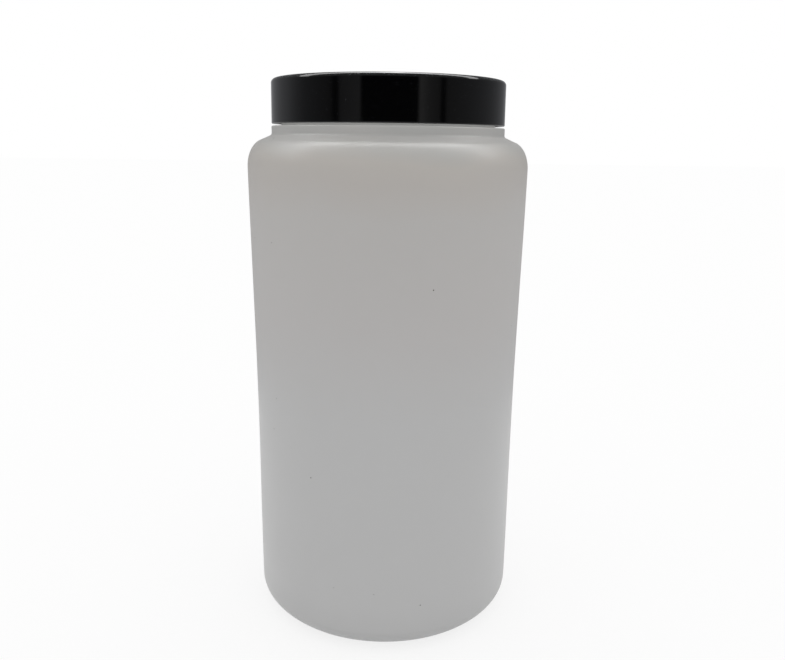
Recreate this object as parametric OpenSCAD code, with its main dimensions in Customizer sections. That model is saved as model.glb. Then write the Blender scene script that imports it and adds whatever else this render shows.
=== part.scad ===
// Wide-mouth reagent bottle: a blown bottle, its screw cap and the sealing wad in the cap.
// Millimetres, +Z up. The origin is on the axis, in the plane that the bottle stands on.
// The blow mould parts in the XZ plane, so its seam runs down the left and right sides.

/* [Body] */
// Outside diameter at the heel and at the shoulder, below and above the label panel
body_d = 120; // [112:0.5:140]
// Height from the standing face to the foot of the collar
body_h = 216; // [150:1:300]
// Wall thickness of the blown body
wall_t = 1.7; // [1.2:0.1:2.4]
// How far the label panel is waisted at its middle
waist_depth = 0.6; // [0:0.1:2]

/* [Heel and base] */
// How far the rounded heel reaches in from the side
heel_w = 14.3; // [10:0.1:18]
// How high the rounded heel reaches up the side
heel_h = 10.8; // [7:0.1:18]
// Width of the flat ring that the bottle stands on
foot_w = 3.6; // [2:0.1:6]
// Width of the curve from the standing ring up to the base panel
push_w = 9; // [5:0.5:14]
// How far the base panel is pushed up
push_h = 3.6; // [2:0.1:8]
// Thickness of the base panel
base_t = 2.4; // [1.6:0.1:4]
// Radius of the pinch-off seam across the base panel
seam_r = 0.8; // [0.4:0.1:1.2]

/* [Shoulder and collar] */
// How far the rounded shoulder corner reaches in from the side
shoulder_w = 7.6; // [4:0.1:9]
// How high the rounded shoulder corner is
shoulder_h = 11.3; // [6:0.1:16]
// Slope of the cone between shoulder and collar, in degrees above level
shoulder_slope = 22.8; // [12:0.1:32]
// Height of the collar under the cap
collar_h = 3.6; // [2.8:0.1:6]
// How far the collar stands proud of the cap's lower edge
collar_proud = 0.1; // [0:0.05:0.5]
// Radius of the fillet between the cone and the collar
collar_foot_r = 1.2; // [0.4:0.1:1.5]

/* [Neck] */
// Outside diameter of the neck between the turns of its thread
neck_d = 90.6; // [80:0.1:94]
// Wall thickness of the neck and the collar
neck_t = 2.2; // [1.8:0.1:3]
// Rounding of the rim's two edges
rim_r = 0.5; // [0.2:0.1:0.8]
// Rounding of the collar's upper edge and of the corner at the foot of the neck
collar_r = 0.5; // [0.2:0.1:0.9]

/* [Thread] */
// Rise of the thread in one turn
thread_pitch = 5; // [4.6:0.1:6]
// Height of a ridge above the wall that it stands on
thread_depth = 1.5; // [1:0.1:1.8]
// Width of a ridge at its root
thread_base = 2.4; // [2:0.1:2.8]
// Width of a ridge at its crest
thread_crest = 1; // [0.6:0.1:1.4]
// Turns of thread on the neck
neck_turns = 1.5; // [1:0.05:1.6]
// Turns of thread in the cap
cap_turns = 1.4; // [1:0.05:1.5]
// How far below the rim the middle of the neck's ridge ends
thread_drop = 3.2; // [2.6:0.1:4]
// How far round the cap's thread starts after the neck's, in turns
cap_thread_lag = 0.3; // [0.2:0.05:0.4]
// Angle over which a ridge rises out of its wall at either end
thread_fade = 24; // [15:1:60]
// Radial clearance from a crest to the wall that it faces
thread_clear = 0.3; // [0.2:0.05:0.5]
// Clearance along the axis between the flanks that carry the closing force
flank_clear = 0.25; // [0.2:0.05:0.4]

/* [Cap] */
// Height of the cap
cap_h = 17.7; // [16:0.1:22]
// Thickness of the skirt at its lower edge, behind the thread
skirt_t = 2.2; // [1.8:0.1:3]
// Lean of the skirt's outside, in degrees
cap_draft = 0.7; // [0:0.1:2]
// Rounding of the upper edge
cap_edge_r = 1.7; // [0.8:0.1:2]
// Rounding of the skirt's two lower edges
skirt_edge_r = 0.4; // [0.2:0.1:0.7]
// Thickness of the top
cap_top_t = 2.2; // [1.8:0.1:3]
// Gap between the closed cap and the collar
cap_gap = 0.8; // [0.4:0.1:1.6]
// How far the bead that keeps the wad in stands out from the skirt's inside
bead_w = 0.8; // [0.5:0.1:1]
// Height of that bead
bead_h = 0.9; // [0.6:0.1:1.2]

/* [Wad] */
// Thickness of the sealing wad
wad_t = 1.5; // [1:0.1:2.5]
// Clearance of the wad from the skirt round it and from the bead under it
wad_clear = 0.3; // [0.2:0.05:0.5]

/* [Hidden] */
$fn = 120;

// Radii, from the body to the collar
body_r = body_d / 2;
neck_r = neck_d / 2;
bore_r = neck_r - neck_t;
cap_wall_r = neck_r + thread_depth + thread_clear;
skirt_r = cap_wall_r + skirt_t;
wad_r = cap_wall_r - wad_clear;
collar_out_r = skirt_r + collar_proud;
collar_in_r = collar_out_r - neck_t;

// Radii on the base, from the side inwards
foot_out_r = body_r - heel_w;
foot_in_r = foot_out_r - foot_w;
panel_r = foot_in_r - push_w;

// Heights, from the collar up
collar_top = body_h + collar_h;
skirt_foot = collar_top + cap_gap;
cap_top = skirt_foot + cap_h;
wad_top = cap_top - cap_top_t;
rim = wad_top - wad_t;

// The shoulder corner is a stretch of an ellipse, up to where it has the cone's slope
shoulder_turn = atan2(shoulder_h, shoulder_w * tan(shoulder_slope));
shoulder_in_r = body_r - shoulder_w;
cone_w = shoulder_in_r + shoulder_w * cos(shoulder_turn) - collar_out_r;
shoulder_foot = body_h - cone_w * tan(shoulder_slope) - shoulder_h * sin(shoulder_turn);
// Middle of the fillet that runs from the cone into the upright side of the collar
fillet_r = collar_out_r + collar_foot_r;
fillet_z = body_h + collar_foot_r * tan((90 - shoulder_slope) / 2);

// Underside of the shelf between the hollow collar and the neck, and of the cone below it
shelf_z = collar_top - neck_t;
cone_z = body_h + neck_t * tan(shoulder_slope) - wall_t / cos(shoulder_slope);

// Each flank of a ridge closes in by this much for each millimetre of its height
flank_lean = (thread_base - thread_crest) / (2 * thread_depth);
// The cap's ridge lies just under the neck's: middle to middle along the axis
flank_pair = thread_base - flank_lean * (thread_depth + thread_clear) + flank_clear;
neck_thread_foot = rim - thread_drop - neck_turns * thread_pitch;
cap_thread_foot = neck_thread_foot - flank_pair + cap_thread_lag * thread_pitch;
// A ridge is rooted this deep in its wall, and its faded ends lie this far under the surface
ridge_root = 0.8;
ridge_end = 0.15;
steps_per_turn = 60;

// Points along a stretch of an ellipse in the profile plane, from angle a to angle b
function arc(r, z, half_w, half_h, a, b, steps) = [
    for (i = [0:steps])
        let (t = a + (b - a) * i / steps)
        [r + half_w * cos(t), z + half_h * sin(t)]
];

// The S-curve from the base panel out to the standing ring
function push_curve(lift, steps = 10) = [
    for (i = [0:steps])
        let (t = i / steps)
        [panel_r + push_w * t, lift + push_h * (1 + cos(180 * t)) / 2]
];

// The side of the label panel, upright at both ends and closest to the axis at its middle
function panel_side(r, steps = 24) = [
    for (i = [1:steps - 1])
        let (t = i / steps)
        [r - waist_depth * pow(4 * t * (1 - t), 2), heel_h + (shoulder_foot - heel_h) * t]
];

function backwards(points) = [for (i = [len(points) - 1:-1:0]) points[i]];

// Outside of the bottle, from the middle of the base to the rim
function bottle_outside() = concat(
    [[0, push_h]],
    push_curve(0),
    arc(foot_out_r, heel_h, heel_w, heel_h, -90, 0, 12),
    panel_side(body_r),
    arc(shoulder_in_r, shoulder_foot, shoulder_w, shoulder_h, 0, shoulder_turn, 10),
    arc(fillet_r, fillet_z, collar_foot_r, collar_foot_r, 270 - shoulder_slope, 180, 6),
    arc(collar_out_r - collar_r, collar_top - collar_r, collar_r, collar_r, 0, 90, 4),
    arc(neck_r + collar_r, collar_top + collar_r, collar_r, collar_r, 270, 180, 4),
    arc(neck_r - rim_r, rim - rim_r, rim_r, rim_r, 0, 90, 4)
);

// Inside of the bottle, from the rim down to the middle of the base. The blown wall follows
// the outside, so the collar is hollow.
function bottle_inside() = concat(
    arc(bore_r + rim_r, rim - rim_r, rim_r, rim_r, 90, 180, 4),
    arc(bore_r + neck_t / 2, shelf_z + neck_t / 2, neck_t / 2, neck_t / 2, 180, 270, 4),
    [[collar_in_r, shelf_z], [collar_in_r, cone_z]],
    arc(shoulder_in_r, shoulder_foot, shoulder_w - wall_t, shoulder_h - wall_t, shoulder_turn, 0, 10),
    backwards(panel_side(body_r - wall_t)),
    arc(foot_out_r, heel_h, heel_w - wall_t, heel_h - base_t, 0, -90, 12),
    backwards(push_curve(base_t)),
    [[0, push_h + base_t]]
);

// Outside and inside of the cap, from the middle of its top round the skirt to the ceiling
function cap_profile() =
    let (
        top_r = skirt_r - cap_h * tan(cap_draft),
        e = skirt_edge_r,
        bead_z = rim - wad_clear - bead_h / 2
    )
    concat(
        [[0, cap_top]],
        arc(top_r - cap_edge_r, cap_top - cap_edge_r, cap_edge_r, cap_edge_r, 90, 0, 8),
        arc(skirt_r - e, skirt_foot + e, e, e, 0, -90, 4),
        arc(cap_wall_r + e, skirt_foot + e, e, e, 270, 180, 4),
        arc(cap_wall_r, bead_z, bead_w, bead_h / 2, 270, 90, 8),
        [[cap_wall_r, wad_top], [0, wad_top]]
    );

// One helical ridge, rising anticlockwise from the height foot at the angle start. It stands
// outwards from a wall of radius wall_r with side = 1, and inwards with side = -1. Its section
// is a trapezium that sinks into the wall over the fade angle at either end.
module ridge(wall_r, side, turns, foot, start) {
    steps = round(turns * steps_per_turn);
    points = [
        for (i = [0:steps])
            let (
                a = 360 * turns * i / steps,
                fade = min(1, a / thread_fade, (360 * turns - a) / thread_fade),
                tip = (thread_depth + ridge_end) * fade - ridge_end,
                mid = foot + thread_pitch * a / 360
            )
            for (corner = [[-ridge_root, -1], [tip, -1], [tip, 1], [-ridge_root, 1]])
                let (
                    r = wall_r + side * corner[0],
                    half_w = thread_base / 2 - flank_lean * corner[0]
                )
                [r * cos(start + a), r * sin(start + a), mid + side * corner[1] * half_w]
    ];
    sides = [
        for (i = [0:steps - 1], k = [0:3])
            let (
                p = 4 * i + k,
                q = 4 * i + (k + 1) % 4
            )
            each [[p, q + 4, p + 4], [p, q, q + 4]]
    ];
    last = 4 * steps;
    ends = [[2, 1, 0], [3, 2, 0], [last, last + 1, last + 2], [last, last + 2, last + 3]];
    polyhedron(points, concat(sides, ends));
}

module bottle() {
    color("gainsboro") {
        rotate_extrude() polygon(concat(bottle_outside(), bottle_inside()));
        ridge(neck_r, 1, neck_turns, neck_thread_foot, 0);
        pinch_off_seam();
    }
}

// The seam that the closing mould leaves across the base panel, sunk in it at both ends
module pinch_off_seam() {
    reach = panel_r + 0.35 * push_w;
    translate([0, 0, push_h])
        rotate([0, 90, 0])
        cylinder(r = seam_r, h = 2 * reach, center = true);
}

module cap() {
    color("#151517") {
        rotate_extrude() polygon(cap_profile());
        ridge(cap_wall_r, -1, cap_turns, cap_thread_foot, 360 * cap_thread_lag);
    }
}

module wad() {
    color("ivory")
        translate([0, 0, rim])
        cylinder(r = wad_r, h = wad_t);
}

bottle();
cap();
wad();
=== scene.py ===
"""Wide-mouth reagent bottle: a blow-moulded body, its black screw cap and the sealing wad in the cap.

Lengths of the pieces are in millimetres, under the names that the solids' own sizes have, and
grid_mesh turns them to metres. The studio round the bottle is in metres.
"""
import math

import bpy
import numpy as np
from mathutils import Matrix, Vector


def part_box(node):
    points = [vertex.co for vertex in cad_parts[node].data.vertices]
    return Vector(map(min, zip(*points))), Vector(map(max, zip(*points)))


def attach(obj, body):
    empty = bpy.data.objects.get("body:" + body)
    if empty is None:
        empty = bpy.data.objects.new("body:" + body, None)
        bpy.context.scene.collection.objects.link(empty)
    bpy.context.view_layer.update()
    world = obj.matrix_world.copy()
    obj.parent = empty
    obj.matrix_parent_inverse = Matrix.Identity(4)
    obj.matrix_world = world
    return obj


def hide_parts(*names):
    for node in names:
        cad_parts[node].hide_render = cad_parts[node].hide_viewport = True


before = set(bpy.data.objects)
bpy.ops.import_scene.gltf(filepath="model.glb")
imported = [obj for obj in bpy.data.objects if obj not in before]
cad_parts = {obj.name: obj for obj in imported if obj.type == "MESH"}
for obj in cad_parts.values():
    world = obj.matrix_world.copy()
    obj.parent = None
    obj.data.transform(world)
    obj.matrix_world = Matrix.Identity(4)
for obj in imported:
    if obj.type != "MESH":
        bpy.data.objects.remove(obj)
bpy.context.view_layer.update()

MM = 0.001
SAME_POINT = 1e-4         # points closer than this, in millimetres, are one point
SAME_FACE = 1e-6          # a point this near to a wall or a flat, in millimetres, lies on it


def heights(node):
    """Lowest and highest point of a node of the frame, in millimetres."""
    low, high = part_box(node)
    return low[2] / MM, high[2] / MM


# ---------------------------------------------------------------- sizes of the solids

rim = heights("bottle")[1]
skirt_foot, cap_top = heights("cap")
wad_top = heights("wad")[1]

body_r = 60.0

body_h = 216.0
wall_t = 1.7
waist_depth = 0.6

heel_w, heel_h = 14.3, 10.8
foot_out_r, foot_in_r, panel_r = 45.7, 42.1, 33.1
push_h = 3.6
base_t = 2.4
seam_r = 0.8

shoulder_w, shoulder_h = 7.6, 11.3
shoulder_slope = 22.8
collar_top = 219.6
collar_out_r, collar_in_r = 49.4, 47.2
collar_foot_r = 1.2

neck_r, bore_r = 45.3, 43.1
neck_t = neck_r - bore_r
rim_r = 0.5
collar_r = 0.5

thread_pitch = 5.0
thread_depth = 1.5
thread_base, thread_crest = 2.4, 1.0
thread_fade = 24.0
neck_turns, neck_thread_foot, neck_thread_start = 1.5, rim - 10.7, 0.0
cap_turns, cap_thread_foot, cap_thread_start = 1.4, rim - 11.01, 108.0

skirt_r, cap_wall_r = 49.3, 47.1
cap_draft = 0.7
cap_edge_r = 1.7
skirt_edge_r = 0.4
bead_w, bead_h = 0.8, 0.9
wad_r = 46.8
wad_clear = 0.3

# ---------------------------------------------------------------- sizes of the moulding detail

blow_ripple = 0.04        # swell and sink of the blown wall
parting_line_h = 0.1      # height of the line where the mould halves meet
parting_line_w = 0.25     # half its width
neck_line_share = 0.4     # share of that height on the neck
body_inset = blow_ripple + parting_line_h    # how far the body's wall is drawn in to make room for both
inset_start_r, inset_over = 52.0, 6.0        # radius where that begins, and over which it grows
cap_sink = 0.12           # how far the middle of the cap's top sinks as it cools
cap_sink_r = skirt_r - 6  # how far out the sink reaches
rim_print = 0.15          # depth of the print that the rim leaves in the wad
print_spread = 0.2        # how far the print reaches past the rim's wall on either side
print_slope = 0.5         # width of its sloping sides
wad_edge_r = 0.15

# The blown wall's swells: share of the ripple, waves round the bottle, millimetres of height to a radian
# of the wave, and phase
SWELLS = ((0.40, 2, 27.0, 0.6), (0.25, 5, -13.0, 1.9), (0.20, 3, 8.0, 4.1), (0.15, 9, 19.0, 2.7))


# ---------------------------------------------------------------- profiles and grids

def smooth(x):
    """0 below x = 0, 1 above x = 1, and 3x^2 - 2x^3 between them."""
    x = np.clip(x, 0.0, 1.0)
    return x * x * (3 - 2 * x)


def arc(r, z, half_w, half_h, a, b, steps):
    """A stretch of an ellipse in the profile plane, for t from a to b degrees.

    Its points are (r + half_w cos t, z + half_h sin t)."""
    t = np.radians(np.linspace(a, b, steps + 1))
    return np.stack([r + half_w * np.cos(t), z + half_h * np.sin(t)], axis=1)


def line(start, end, steps):
    """A straight stretch in the profile plane, in equal steps."""
    t = np.linspace(0, 1, steps + 1)[:, None]
    return np.array(start) * (1 - t) + np.array(end) * t


def join(*stretches):
    """One profile out of stretches that follow each other. A point that two of them share is kept once."""
    points = np.concatenate(stretches)
    step = np.linalg.norm(np.diff(points, axis=0), axis=1)
    return points[np.concatenate([[True], step > SAME_POINT])]


def profile_normals(points):
    """Unit normals on the right-hand side of the profile's path.

    Each is (dz, -dr), where (dr, dz) is the path's direction at that point."""
    step = np.diff(points, axis=0)
    step /= np.linalg.norm(step, axis=1)[:, None]
    along = np.concatenate([step[:1], step[:-1] + step[1:], step[-1:]])
    along /= np.linalg.norm(along, axis=1)[:, None]
    return np.stack([along[:, 1], -along[:, 0]], axis=1)


def grid_mesh(name, profile, angles, lift):
    """A closed surface of revolution with a relief.

    Profile point (r, z) with normal (nr, nz), turned to the angle t and lifted by h, lies at
    ((r + h nr) cos t, (r + h nr) sin t, z + h nz). The first and last profile points lie on the axis,
    where each becomes one vertex with a fan of triangles."""
    normal = profile_normals(profile)
    normal[0] = (0.0, np.sign(normal[0, 1]))
    normal[-1] = (0.0, np.sign(normal[-1, 1]))
    r = profile[:, :1] + lift * normal[:, :1]
    z = profile[:, 1:] + lift * normal[:, 1:]
    grid = np.stack([r * np.cos(angles), r * np.sin(angles), z], axis=2)
    inner = grid[1:-1]
    rows, cols = inner.shape[:2]
    start = np.array([[0, 0, z[0].mean()]])
    end = np.array([[0, 0, z[-1].mean()]])
    verts = np.concatenate([inner.reshape(-1, 3), start, end]) * MM

    i = np.arange(cols)
    after = (i + 1) % cols
    j = np.arange(rows - 1)[:, None] * cols
    quads = np.stack([j + i, j + after, j + cols + after, j + cols + i], axis=2).reshape(-1, 4)
    first, last = rows * cols, rows * cols + 1
    top = (rows - 1) * cols
    fans = np.concatenate([
        np.stack([np.full(cols, first), after, i], axis=1),
        np.stack([np.full(cols, last), top + i, top + after], axis=1),
    ])
    mesh = bpy.data.meshes.new(name)
    mesh.vertices.add(len(verts))
    mesh.vertices.foreach_set("co", verts.ravel())
    corners = np.concatenate([quads.ravel(), fans.ravel()])
    sizes = np.concatenate([np.full(len(quads), 4), np.full(len(fans), 3)])
    mesh.loops.add(len(corners))
    mesh.loops.foreach_set("vertex_index", corners)
    mesh.polygons.add(len(sizes))
    mesh.polygons.foreach_set("loop_start", np.concatenate([[0], np.cumsum(sizes)[:-1]]))
    mesh.polygons.foreach_set("use_smooth", np.ones(len(sizes), dtype=bool))
    mesh.update(calc_edges=True)
    mesh.validate()
    piece = bpy.data.objects.new(name, mesh)
    bpy.context.scene.collection.objects.link(piece)
    return piece


def ridge_relief(z, degrees, turns, foot, start):
    """Height of a helical ridge over its wall, at heights z (a column) and angles (a row).

    The middle of the ridge climbs one pitch in a turn. Across it the height falls from thread_depth at
    the crest to nothing at the root, along a smooth step, and it fades out at either end."""
    height = np.zeros(np.broadcast(z, degrees).shape)
    for turn in range(math.ceil(turns)):
        a = np.mod(degrees - start, 360) + 360 * turn
        away = np.abs(z - foot - thread_pitch * a / 360)
        flank = (thread_base / 2 - away) / ((thread_base - thread_crest) / 2)
        fade = np.minimum(a, 360 * turns - a) / thread_fade
        height = np.maximum(height, thread_depth * smooth(flank) * np.clip(fade, 0, 1))
    return height


# ---------------------------------------------------------------- bottle

# Columns lie close together beside the two parting lines and 1.5 degrees apart elsewhere
seam_steps = [0, 0.15, 0.3, 0.5, 0.75, 1.05, 1.4, 1.8, 2.3, 2.9, 3.6]
quarter = np.array(seam_steps + list(np.arange(4.5, 90.1, 1.5)))
half_turn = np.concatenate([quarter, 180 - quarter[-2::-1]])
column_degrees = np.concatenate([half_turn[:-1], 180 + half_turn[:-1]])
# The cap and the wad have 300 equal columns
even_degrees = np.arange(0, 360, 1.2)

shoulder_turn = math.degrees(math.atan2(shoulder_h, shoulder_w * math.tan(math.radians(shoulder_slope))))
shoulder_in_r = body_r - shoulder_w
cone_w = shoulder_in_r + shoulder_w * math.cos(math.radians(shoulder_turn)) - collar_out_r
cone_drop = cone_w * math.tan(math.radians(shoulder_slope))
shoulder_foot = body_h - cone_drop - shoulder_h * math.sin(math.radians(shoulder_turn))
shelf_z = collar_top - neck_t
cone_z = (body_h + neck_t * math.tan(math.radians(shoulder_slope))
          - wall_t / math.cos(math.radians(shoulder_slope)))


def push_curve(lift, steps):
    """The S-curve from the base panel out to the standing ring: half a cosine wave, push_h high."""
    t = np.linspace(0, 1, steps + 1)
    return np.stack([panel_r + (foot_in_r - panel_r) * t,
                     lift + push_h * (1 + np.cos(np.pi * t)) / 2], axis=1)


def panel_side(r, steps):
    """The label panel's side: r - waist_depth (4t(1 - t))^2 at the share t of its height."""
    t = np.linspace(0, 1, steps + 1)
    return np.stack([r - waist_depth * (4 * t * (1 - t)) ** 2,
                     heel_h + (shoulder_foot - heel_h) * t], axis=1)


def bottle_profile():
    """Outside of the bottle from the middle of its base to the rim, then the inside down to the base."""
    panel_rows = np.array([0, 0.35, 0.8, 1.2, 1.8, 2.6, 3.6, 5, 7, 9.5, 12.5, 16, 20, 24, 28, 31, panel_r])
    base = np.stack([panel_rows, np.full(len(panel_rows), push_h)], axis=1)
    fillet_r = collar_out_r + collar_foot_r
    fillet_z = body_h + collar_foot_r * math.tan(math.radians(90 - shoulder_slope) / 2)
    outside = join(
        base,
        push_curve(0, 16),
        line((foot_in_r, 0), (foot_out_r, 0), 3),
        arc(foot_out_r, heel_h, heel_w, heel_h, -90, 0, 22),
        panel_side(body_r, 60),
        arc(shoulder_in_r, shoulder_foot, shoulder_w, shoulder_h, 0, shoulder_turn, 20),
        arc(fillet_r, fillet_z, collar_foot_r, collar_foot_r, 270 - shoulder_slope, 180, 8),
        arc(collar_out_r - collar_r, collar_top - collar_r, collar_r, collar_r, 0, 90, 6),
        arc(neck_r + collar_r, collar_top + collar_r, collar_r, collar_r, 270, 180, 5),
        line((neck_r, collar_top + collar_r), (neck_r, rim - rim_r), 68),
        arc(neck_r - rim_r, rim - rim_r, rim_r, rim_r, 0, 90, 5),
    )
    inside = join(
        arc(bore_r + rim_r, rim - rim_r, rim_r, rim_r, 90, 180, 5),
        line((bore_r, rim - rim_r), (bore_r, shelf_z + neck_t / 2), 8),
        arc(bore_r + neck_t / 2, shelf_z + neck_t / 2, neck_t / 2, neck_t / 2, 180, 270, 6),
        line((collar_in_r, shelf_z), (collar_in_r, cone_z), 3),
        arc(shoulder_in_r, shoulder_foot, shoulder_w - wall_t, shoulder_h - wall_t, shoulder_turn, 0, 10),
        panel_side(body_r - wall_t, 24)[::-1],
        arc(foot_out_r, heel_h, heel_w - wall_t, heel_h - base_t, 0, -90, 12),
        push_curve(base_t, 10)[::-1],
        line((panel_r, push_h + base_t), (0, push_h + base_t), 4),
    )
    return join(outside, inside), len(outside)


def bottle_relief(profile, outside_rows, degrees):
    """Relief of the blown wall, added up from four reliefs.

    The thread on the neck. The parting line: a bell curve across each side that faces along X. The
    pinch-off seam: where a rod along X, half sunk in the base panel, stands out of it. The swell of the
    blown wall: sines round the bottle and up it, on the body alone, under the true outside."""
    r, z = profile[:, :1], profile[:, 1:]
    outer = (np.arange(len(profile)) < outside_rows)[:, None]
    angle = np.radians(degrees)
    thread = ridge_relief(z, degrees, neck_turns, neck_thread_foot, neck_thread_start)
    relief = np.where(outer & (z > collar_top), thread, 0)

    across = r * np.sin(angle)
    line_share = (outer * smooth((z - 1) / 4) * smooth((rim - 1 - z) / 2)
                  * np.where(z > collar_top, neck_line_share, 1))
    relief += parting_line_h * line_share * np.exp(-(across / parting_line_w) ** 2)

    rod = push_h - np.sqrt(np.clip(seam_r ** 2 - across ** 2, 0, None))
    stands_out = np.where(np.abs(across) < seam_r, z - rod, 0)
    relief += np.where(outer & (r < panel_r + 4), np.clip(stands_out, 0, seam_r), 0)

    swell = sum(share * np.sin(waves * angle + z / climb + phase) for share, waves, climb, phase in SWELLS)
    on_body = outer * smooth((z - 4) / 10) * smooth((body_h - 1 - z) / 8)
    relief += blow_ripple * on_body * swell
    relief -= body_inset * outer * smooth((r - inset_start_r) / inset_over)
    return relief


profile, outside_rows = bottle_profile()
bottle = grid_mesh("bottle_shell", profile, np.radians(column_degrees),
                   bottle_relief(profile, outside_rows, column_degrees))


# ---------------------------------------------------------------- cap

def cap_profile():
    """The cap from the middle of its ceiling, down inside the skirt, round its foot and up to the top."""
    top_r = skirt_r - (cap_top - skirt_foot) * math.tan(math.radians(cap_draft))
    e = skirt_edge_r
    bead_z = rim - wad_clear - bead_h / 2
    return join(
        line((0, wad_top), (cap_wall_r, wad_top), 8),
        line((cap_wall_r, wad_top), (cap_wall_r, bead_z + bead_h / 2), 2),
        arc(cap_wall_r, bead_z, bead_w, bead_h / 2, 90, 270, 10),
        line((cap_wall_r, bead_z - bead_h / 2), (cap_wall_r, skirt_foot + e), 66),
        arc(cap_wall_r + e, skirt_foot + e, e, e, 180, 270, 5),
        arc(skirt_r - e, skirt_foot + e, e, e, 270, 360, 6),
        line((skirt_r, skirt_foot + e), (top_r, cap_top - cap_edge_r), 12),
        arc(top_r - cap_edge_r, cap_top - cap_edge_r, cap_edge_r, cap_edge_r, 0, 90, 14),
        line((top_r - cap_edge_r, cap_top), (0, cap_top), 14),
    )


def cap_relief(profile, degrees):
    """The thread inside the skirt, and the sink of the top: deepest in the middle, nothing at its edge."""
    r, z = profile[:, :1], profile[:, 1:]
    thread = ridge_relief(z, degrees, cap_turns, cap_thread_foot, cap_thread_start)
    relief = np.where(np.abs(r - cap_wall_r) < SAME_FACE, thread, 0)
    sink = cap_sink * smooth(1 - r / cap_sink_r)
    return relief - np.where(z > cap_top - SAME_FACE, sink, 0)


profile = cap_profile()
cap = grid_mesh("screw_cap", profile, np.radians(even_degrees), cap_relief(profile, even_degrees))


# ---------------------------------------------------------------- wad

def wad_profile():
    """The disc from the middle of its underside round its edge to the middle of its top.

    Its rows lie close together from 1 mm inside the bottle's bore to 0.8 mm outside its neck."""
    e = wad_edge_r
    return join(
        line((0, rim), (bore_r - 1, rim), 10),
        line((bore_r - 1, rim), (neck_r + 0.8, rim), 24),
        arc(wad_r - e, rim + e, e, e, -90, 0, 4),
        arc(wad_r - e, wad_top - e, e, e, 0, 90, 4),
        line((wad_r - e, wad_top), (0, wad_top), 10),
    )


def wad_relief(profile, degrees):
    """The rim's print in the underside: a trough with sloping sides, a little uneven round the rim."""
    r, z = profile[:, :1], profile[:, 1:]
    mid, half = (bore_r + neck_r) / 2, (neck_r - bore_r) / 2
    trough = smooth((half + print_spread - np.abs(r - mid)) / print_slope)
    uneven = 0.85 + 0.15 * np.sin(3 * np.radians(degrees) + 0.8)
    return np.where(z < rim + SAME_FACE, -rim_print * trough * uneven, 0)


profile = wad_profile()
wad = grid_mesh("sealing_wad", profile, np.radians(even_degrees), wad_relief(profile, even_degrees))


# ---------------------------------------------------------------- materials

def paint(colour):
    """An sRGB hex colour as linear RGBA."""
    parts = [int(colour[i:i + 2], 16) / 255 for i in (1, 3, 5)]
    return [c / 12.92 if c <= 0.04045 else ((c + 0.055) / 1.055) ** 2.4 for c in parts] + [1.0]


def add(tree, kind, inputs=None, **settings):
    """Adds a node with its settings. An input is linked if its value is a socket, and set otherwise."""
    node = tree.nodes.new(kind)
    for name, value in settings.items():
        setattr(node, name, value)
    for name, value in (inputs or {}).items():
        socket = node.inputs[name]
        if isinstance(value, bpy.types.NodeSocket):
            tree.links.new(value, socket)
        else:
            socket.default_value = value
    return node


def ramp(tree, share, stops):
    """A colour ramp over a share from 0 to 1, from its stops (share, linear RGBA)."""
    node = add(tree, "ShaderNodeValToRGB", {0: share})
    elements = node.color_ramp.elements
    elements[0].position, elements[0].color = stops[0]
    elements[1].position, elements[1].color = stops[-1]
    for position, colour in stops[1:-1]:
        elements.new(position).color = colour
    return node.outputs[0]


def new_material(name):
    """An empty node material and its tree."""
    material = bpy.data.materials.new(name)
    material.use_nodes = True
    material.node_tree.nodes.clear()
    return material, material.node_tree


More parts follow.
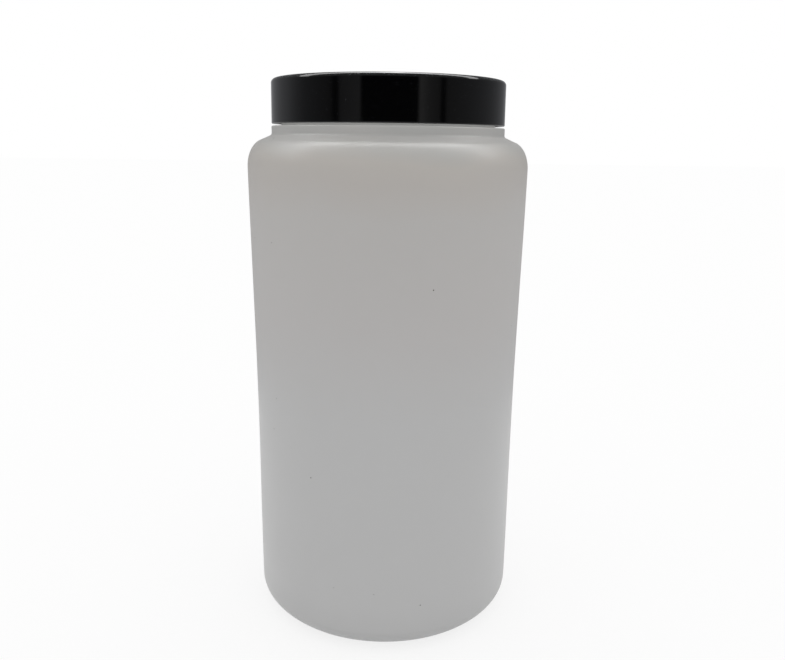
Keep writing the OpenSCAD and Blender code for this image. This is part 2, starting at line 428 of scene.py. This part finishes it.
def blown_polyethylene():
    """Natural high-density polyethylene, extrusion-blow-moulded in a grit-blasted mould.

    Milky and faintly translucent, so light spreads softly in it. The blasted mould leaves a satin skin,
    the die leaves faint upright streaks, and the odd scorched pellet a dark speck."""
    material, tree = new_material("blown_natural_polyethylene")
    place = add(tree, "ShaderNodeTexCoord").outputs["Object"]
    cloud = add(tree, "ShaderNodeTexNoise", {"Vector": place, "Scale": 1 / (45 * MM), "Detail": 2.0,
                                             "Roughness": 0.45}).outputs["Fac"]
    # The wall is thickest and creamiest under the shoulder, and cooler in the collar and further down. The
    # ramp
    # also holds painted light and shade: just under the shoulder's light line it is lightened as if lit from
    # above (painted light), the top of the collar is darkened as if shaded by the cap (painted shade), and
    # the foot is darkened as if shaded by the floor (painted shade). The bounds wander by 9 mm up and down.
    height = add(tree, "ShaderNodeSeparateXYZ", {0: place}).outputs[2]
    wander = add(tree, "ShaderNodeMath", {0: cloud, 1: 0.08, 2: -0.04}, operation="MULTIPLY_ADD").outputs[0]
    share = add(tree, "ShaderNodeMath", {0: height, 1: 1 / (collar_top * MM), 2: wander},
                operation="MULTIPLY_ADD").outputs[0]
    # Painted light lifts the stops round 206 mm; painted shade darkens the stops at collar_top and at 0
    milk_and_painted_light = ramp(tree, share, [(z / collar_top, paint(colour)) for z, colour in (
        (0, "#B3B3B3"), (22, "#B8B8B8"), (105, "#B8B8B8"), (145, "#B7B5B4"), (186, "#B6B4B2"),
        (199, "#B5B1AD"), (206, "#B7B3AE"), (211, "#B1B0AD"), (216, "#B0AFAD"), (collar_top, "#ABABA9"))])

    # A scorched speck up to 0.6 mm across in half of the 9 mm cells, where it happens to lie at the surface
    cell, speck_r, empty_share = 9.0, 0.315, 0.5
    cells = add(tree, "ShaderNodeTexVoronoi", {"Vector": place, "Scale": 1 / (cell * MM)})
    near = add(tree, "ShaderNodeMath", {0: cells.outputs["Distance"], 1: speck_r / cell},
               operation="LESS_THAN")
    draw = add(tree, "ShaderNodeSeparateColor", {0: cells.outputs["Color"]}).outputs[0]
    chosen = add(tree, "ShaderNodeMath", {0: draw, 1: empty_share}, operation="GREATER_THAN")
    speck = add(tree, "ShaderNodeMath", {0: near.outputs[0], 1: chosen.outputs[0]}, operation="MULTIPLY")
    colour = add(tree, "ShaderNodeMix", {"Factor": speck.outputs[0], 6: milk_and_painted_light, 7: paint("#45413B")},
                 data_type="RGBA").outputs[2]

    # Die streaks are 3 mm wide and run up the bottle, and the blasted grain is 0.35 mm, coarser than real
    upright = add(tree, "ShaderNodeMapping", {"Vector": place, "Scale": (1.0, 1.0, 0.03)}).outputs[0]
    streaks = add(tree, "ShaderNodeTexNoise", {"Vector": upright, "Scale": 1 / (3 * MM), "Detail": 1.0})
    grain = add(tree, "ShaderNodeTexNoise", {"Vector": place, "Scale": 1 / (0.35 * MM), "Detail": 1.0})
    relief = add(tree, "ShaderNodeMath", {0: streaks.outputs["Fac"], 1: 0.6, 2: grain.outputs["Fac"]},
                 operation="MULTIPLY_ADD").outputs[0]
    bump = add(tree, "ShaderNodeBump", {"Height": relief, "Strength": 0.12, "Distance": 0.02 * MM})
    sheen = add(tree, "ShaderNodeMapRange", {"Value": cloud, "From Min": 0.3, "From Max": 0.7,
                                             "To Min": 0.38, "To Max": 0.43}).outputs[0]
    shader = add(tree, "ShaderNodeBsdfPrincipled", {
        "Base Color": colour, "Roughness": sheen, "Normal": bump.outputs[0], "IOR": 1.54,
        "Subsurface Weight": 0.3, "Subsurface Radius": (1.0, 0.95, 0.9), "Subsurface Scale": 2.5 * MM})
    add(tree, "ShaderNodeOutputMaterial", {"Surface": shader.outputs[0]})
    return material


def moulded_phenolic():
    """Black phenolic, compression-moulded in a polished tool.

    Very dark and glossy, with a faint orange peel in what it mirrors, a little roughness where it has been
    rubbed, and pale grains along its upper edge: dust, and there also a painted highlight."""
    material, tree = new_material("compression_moulded_black_phenolic")
    place = add(tree, "ShaderNodeTexCoord").outputs["Object"]
    peel = add(tree, "ShaderNodeTexNoise", {"Vector": place, "Scale": 1 / (4 * MM), "Detail": 1.0,
                                            "Roughness": 0.4})
    bump = add(tree, "ShaderNodeBump", {"Height": peel.outputs["Fac"], "Strength": 0.1,
                                        "Distance": 0.03 * MM})
    # Pale grains of 0.3 mm lie along the rounded upper edge, and hardly any on the flat of the top. On the
    # flat they are dust; along the edge they are dust and a painted highlight, a speckled light line on the
    # rounding.
    dust_on_flat, dust_and_highlight_on_edge = 0.02, 0.13
    x, y, height = add(tree, "ShaderNodeSeparateXYZ", {0: place}).outputs
    across = add(tree, "ShaderNodeCombineXYZ", {0: x, 1: y})
    radius = add(tree, "ShaderNodeVectorMath", {0: across.outputs[0]}, operation="LENGTH").outputs["Value"]
    rounding = add(tree, "ShaderNodeMapRange", {
        "Value": radius, "From Min": (skirt_r - 4) * MM, "From Max": (skirt_r - 1.5) * MM,
        "To Min": dust_on_flat, "To Max": dust_and_highlight_on_edge}).outputs[0]
    at_edge = add(tree, "ShaderNodeMapRange", {
        "Value": height, "From Min": (cap_top - 1.6) * MM, "From Max": (cap_top - 0.7) * MM,
        "To Min": 0.0, "To Max": rounding}).outputs[0]
    grains = add(tree, "ShaderNodeTexNoise", {"Vector": place, "Scale": 1 / (0.3 * MM), "Detail": 2.0})
    lifted = add(tree, "ShaderNodeMath", {0: grains.outputs["Fac"], 1: at_edge}, operation="ADD")
    dust_and_glint = add(tree, "ShaderNodeMapRange", {"Value": lifted.outputs[0], "From Min": 0.74,
                                            "From Max": 0.80}).outputs[0]
    # Pale grey grains: dust, and along the upper edge also a painted highlight
    colour = add(tree, "ShaderNodeMix", {"Factor": dust_and_glint, 6: paint("#020203"), 7: paint("#6C7076")},
                 data_type="RGBA").outputs[2]
    rub = add(tree, "ShaderNodeTexNoise", {"Vector": place, "Scale": 1 / (18 * MM), "Detail": 3.0})
    gloss = add(tree, "ShaderNodeMapRange", {"Value": rub.outputs["Fac"], "From Min": 0.35,
                                             "From Max": 0.75, "To Min": 0.07, "To Max": 0.13}).outputs[0]
    rough = add(tree, "ShaderNodeMath", {0: dust_and_glint, 1: 0.5, 2: gloss}, operation="MULTIPLY_ADD").outputs[0]
    shader = add(tree, "ShaderNodeBsdfPrincipled", {
        "Base Color": colour, "Roughness": rough, "Normal": bump.outputs[0], "IOR": 1.55})
    add(tree, "ShaderNodeOutputMaterial", {"Surface": shader.outputs[0]})
    return material


def foamed_polyethylene():
    """Closed-cell polyethylene foam, cut from sheet: matt, off-white and finely pitted by its cells."""
    material, tree = new_material("die_cut_polyethylene_foam")
    place = add(tree, "ShaderNodeTexCoord").outputs["Object"]
    cells = add(tree, "ShaderNodeTexVoronoi", {"Vector": place, "Scale": 1 / (0.5 * MM)})
    bump = add(tree, "ShaderNodeBump", {"Height": cells.outputs["Distance"], "Strength": 0.5,
                                        "Distance": 0.1 * MM})
    cloud = add(tree, "ShaderNodeTexNoise", {"Vector": place, "Scale": 1 / (14 * MM), "Detail": 3.0})
    colour = add(tree, "ShaderNodeMix", {"Factor": cloud.outputs["Fac"], 6: paint("#F2F0E8"),
                                         7: paint("#E6E3D8")}, data_type="RGBA").outputs[2]
    shader = add(tree, "ShaderNodeBsdfPrincipled", {
        "Base Color": colour, "Roughness": 0.75, "Normal": bump.outputs[0], "IOR": 1.5,
        "Subsurface Weight": 0.2, "Subsurface Radius": (1.0, 1.0, 0.9), "Subsurface Scale": 1.0 * MM})
    add(tree, "ShaderNodeOutputMaterial", {"Surface": shader.outputs[0]})
    return material


for piece, node, slot, material in (
        (bottle, "bottle", "polyethylene", blown_polyethylene()),
        (cap, "cap", "cap_plastic", moulded_phenolic()),
        (wad, "wad", "wad_foam", foamed_polyethylene())):
    piece.data.materials.append(material)
    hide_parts(node)
    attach(piece, node)


# ---------------------------------------------------------------- studio, in metres

floor_half = 8.0
floor_glow = 0.75                              # share of plain white in what the eye sees of the floor
dome_radius = 2.0
dome_rings, revolve_columns = 32, 144
ceiling_foot, ceiling_full = 0.25, 0.65        # heights between which walls pass into ceiling, in radii
ceiling_front, ceiling_back = "#8C8C8C", "#606060"
ceiling_turn = (125, 178)                      # degrees from the front between which it darkens
cove_radius, cove_height = 0.35, 0.19
softbox_length, softbox_depth, softbox_bow = 2.7, 0.27, 0.1
softbox_middle = (0.03, 0.17, 0.8)
softbox_steps = 24
softbox_peak, softbox_level = 15.5, 3.9        # strength in its middle and at its ends
softbox_fall = 9.0                             # power by which it falls off from the one to the other


def stage_piece(name, verts, faces, material):
    """A flat-faced object of the studio, which is no part of the bottle."""
    mesh = bpy.data.meshes.new(name)
    mesh.from_pydata(verts, [], faces)
    mesh.materials.append(material)
    piece = bpy.data.objects.new(name, mesh)
    bpy.context.scene.collection.objects.link(piece)
    return piece


def shown_to_eye(tree):
    """1 for camera, glossy and transmission rays, and 0 for those that light the bottle."""
    rays = add(tree, "ShaderNodeLightPath")
    two = add(tree, "ShaderNodeMath", {0: rays.outputs["Is Camera Ray"], 1: rays.outputs["Is Glossy Ray"]},
              operation="ADD")
    return add(tree, "ShaderNodeMath", {0: two.outputs[0], 1: rays.outputs["Is Transmission Ray"]},
               operation="ADD", use_clamp=True).outputs[0]


def floor_material():
    """Matt white board. It glows a little to the eye, so that it is white up to the edge of the shadow."""
    material, tree = new_material("white_floor_board")
    matt = add(tree, "ShaderNodeBsdfDiffuse", {"Color": paint("#E4E4E4")})
    clear = add(tree, "ShaderNodeEmission", {"Color": (1, 1, 1, 1), "Strength": 1.06})
    share = add(tree, "ShaderNodeMath", {0: shown_to_eye(tree), 1: floor_glow}, operation="MULTIPLY")
    mixed = add(tree, "ShaderNodeMixShader", {0: share.outputs[0], 1: matt.outputs[0], 2: clear.outputs[0]})
    add(tree, "ShaderNodeOutputMaterial", {"Surface": mixed.outputs[0]})
    return material


def dome_material():
    """Dim studio round the bottle, for glossy surfaces to mirror.

    It is dark in front, with a bright strip on either side of that and paler walls at the sides and the
    back. Further up, the walls pass into a ceiling, which darkens towards the back."""
    material, tree = new_material("studio_walls_and_strip_lights")
    place = add(tree, "ShaderNodeTexCoord").outputs["Object"]
    x, y, z = add(tree, "ShaderNodeSeparateXYZ", {0: place}).outputs
    ahead = add(tree, "ShaderNodeMath", {0: y, 1: -1.0}, operation="MULTIPLY")
    turn = add(tree, "ShaderNodeMath", {0: x, 1: ahead.outputs[0]}, operation="ARCTAN2")
    share = add(tree, "ShaderNodeMath", {0: turn.outputs[0], 1: 1 / math.tau, 2: 0.5},
                operation="MULTIPLY_ADD")
    # Degrees round from the front, with the left-hand side negative
    stops = [(-180, "#606062"), (-168, "#ACADB0"), (-150, "#929396"), (-110, "#929396"), (-85, "#6A6B6D"),
             (-56, "#525252"), (-52, "#222222"), (-48, "#222222"), (-45, "#646465"), (-26, "#767677"),
             (-25, "#1A1A1A"), (27, "#1A1A1A"), (29, "#949494"), (38, "#707070"), (48, "#5E5E5E"),
             (50, "#202020"), (53, "#202020"), (56, "#5E5E5E"), (90, "#707173"), (150, "#828386"),
             (168, "#A2A3A6"), (180, "#606062")]
    walls = ramp(tree, share.outputs[0], [(degrees / 360 + 0.5, paint(colour)) for degrees, colour in stops])
    side = add(tree, "ShaderNodeMath", {0: turn.outputs[0]}, operation="ABSOLUTE").outputs[0]
    behind = add(tree, "ShaderNodeMapRange", {"Value": side, "From Min": math.radians(ceiling_turn[0]),
                                              "From Max": math.radians(ceiling_turn[1])}).outputs[0]
    ceiling = add(tree, "ShaderNodeMix", {"Factor": behind, 6: paint(ceiling_front), 7: paint(ceiling_back)},
                  data_type="RGBA").outputs[2]
    rise = add(tree, "ShaderNodeMapRange", {"Value": z, "From Min": ceiling_foot * dome_radius,
                                            "From Max": ceiling_full * dome_radius}).outputs[0]
    colour = add(tree, "ShaderNodeMix", {"Factor": rise, 6: walls, 7: ceiling},
                 data_type="RGBA").outputs[2]
    glow = add(tree, "ShaderNodeEmission", {"Color": colour, "Strength": 1.0})
    add(tree, "ShaderNodeOutputMaterial", {"Surface": glow.outputs[0]})
    return material


def cove_material():
    """Pale grey cove round the board, which the sides of the bottle mirror at a glancing angle."""
    material, tree = new_material("pale_grey_cove")
    glow = add(tree, "ShaderNodeEmission", {"Color": paint("#C0C0C0"), "Strength": 1.0})
    add(tree, "ShaderNodeOutputMaterial", {"Surface": glow.outputs[0]})
    return material


def softbox_material():
    """Long softbox over the bottle, a little behind it, which draws the light line along the shoulder.

    Its strength is softbox_level at the ends and softbox_peak in the middle. Between them it rises as the
    share of the way in, to the power softbox_fall."""
    material, tree = new_material("overhead_softbox_cloth")
    place = add(tree, "ShaderNodeTexCoord").outputs["Object"]
    x = add(tree, "ShaderNodeSeparateXYZ", {0: place}).outputs[0]
    away = add(tree, "ShaderNodeMath", {0: x, 1: softbox_middle[0]}, operation="SUBTRACT").outputs[0]
    away = add(tree, "ShaderNodeMath", {0: away}, operation="ABSOLUTE").outputs[0]
    near = add(tree, "ShaderNodeMapRange", {"Value": away, "From Min": softbox_length / 2,
                                            "From Max": 0.0}).outputs[0]
    near = add(tree, "ShaderNodeMath", {0: near, 1: softbox_fall}, operation="POWER").outputs[0]
    level = add(tree, "ShaderNodeMath", {0: near, 1: softbox_peak - softbox_level, 2: softbox_level},
                operation="MULTIPLY_ADD").outputs[0]
    glow = add(tree, "ShaderNodeEmission", {"Color": paint("#FFFFFF"), "Strength": level})
    add(tree, "ShaderNodeOutputMaterial", {"Surface": glow.outputs[0]})
    return material


def stage_revolve(name, r, z, material):
    """An open surface of revolution: each profile point (r, z) turned to t lies at (r cos t, r sin t, z)."""
    columns = revolve_columns
    t = np.arange(columns) * (2 * np.pi / columns)
    r, z = np.array(r)[:, None], np.array(z)[:, None]
    verts = np.stack([r * np.cos(t), r * np.sin(t), z + 0 * t], axis=2).reshape(-1, 3)
    j, i = np.arange(len(r) - 1)[:, None] * columns, np.arange(columns)
    after = (i + 1) % columns
    faces = np.stack([j + i, j + columns + i, j + columns + after, j + after], axis=2).reshape(-1, 4)
    return stage_piece(name, verts.tolist(), faces.tolist(), material)


h = floor_half
stage_piece("floor", [(-h, -h, 0), (h, -h, 0), (h, h, 0), (-h, h, 0)], [(0, 1, 2, 3)], floor_material())

# The dome's profile is a quarter circle, which stops one ring short of its top
rise = np.linspace(0, np.pi / 2, dome_rings + 1)[:-1]
dome = stage_revolve("studio_dome", dome_radius * np.cos(rise), dome_radius * np.sin(rise), dome_material())
cove = stage_revolve("cove", [cove_radius, cove_radius], [0, cove_height], cove_material())

# The softbox is a level strip, bowed forwards: along its length x its middle line lies bow x^2 nearer
# the front than its middle does
along = np.linspace(-softbox_length / 2, softbox_length / 2, softbox_steps + 1)
x = softbox_middle[0] + along
y = softbox_middle[1] - softbox_bow * along ** 2
z = np.full(len(along), softbox_middle[2])
half = softbox_depth / 2
verts = np.concatenate([np.stack([x, y - half, z], axis=1), np.stack([x, y + half, z], axis=1)])
i = np.arange(len(along) - 1)
faces = np.stack([i, i + len(along), i + len(along) + 1, i + 1], axis=1)
softbox = stage_piece("softbox", verts.tolist(), faces.tolist(), softbox_material())
for card in (dome, cove, softbox):
    card.visible_camera = False
    card.visible_diffuse = False
    card.visible_transmission = False
    card.visible_shadow = False
    card.visible_volume_scatter = False

# The real wall carries light up into the neck, so the gap under the cap is as light as the collar. Here
# the cap doesn't shade the bottle, which comes to the same.
cap.visible_diffuse = False

world = bpy.data.worlds.new("studio")
world.use_nodes = True
world.node_tree.nodes.clear()
sky = add(world.node_tree, "ShaderNodeBackground", {"Color": (1, 1, 1, 1), "Strength": 1.0})
add(world.node_tree, "ShaderNodeOutputWorld", {"Surface": sky.outputs[0]})
scene = bpy.context.scene
scene.world = world
scene.view_settings.view_transform = "Standard"


# ---------------------------------------------------------------- camera

camera_place = (0.0, -0.34683, 0.21415)
camera_pitch, camera_yaw, camera_roll = 0.2944, 0.0091, 0.0128    # radians
focal_pixels, picture_w, picture_shift = 772.32, 785, 45          # pixels of the picture
sensor_w = 36.0                                                   # millimetres

sin_p, cos_p = math.sin(camera_pitch), math.cos(camera_pitch)
sin_y, cos_y = math.sin(camera_yaw), math.cos(camera_yaw)
forward = np.array([sin_y * cos_p, cos_y * cos_p, -sin_p])
right = np.array([cos_y, -sin_y, 0])
up = np.array([sin_y * sin_p, cos_y * sin_p, cos_p])
cam_right = math.cos(camera_roll) * right + math.sin(camera_roll) * up
cam_up = math.cos(camera_roll) * up - math.sin(camera_roll) * right

lens = bpy.data.cameras.new("camera")
lens.sensor_fit = "HORIZONTAL"
lens.sensor_width = sensor_w
lens.lens = sensor_w * focal_pixels / picture_w
lens.shift_y = picture_shift / picture_w
lens.clip_start = 0.01
camera = bpy.data.objects.new("camera", lens)
pose = np.eye(4)
pose[:3, :3] = np.stack([cam_right, cam_up, -forward], axis=1)
pose[:3, 3] = camera_place
scene.collection.objects.link(camera)
camera.matrix_world = pose.T.tolist()
scene.camera = camera
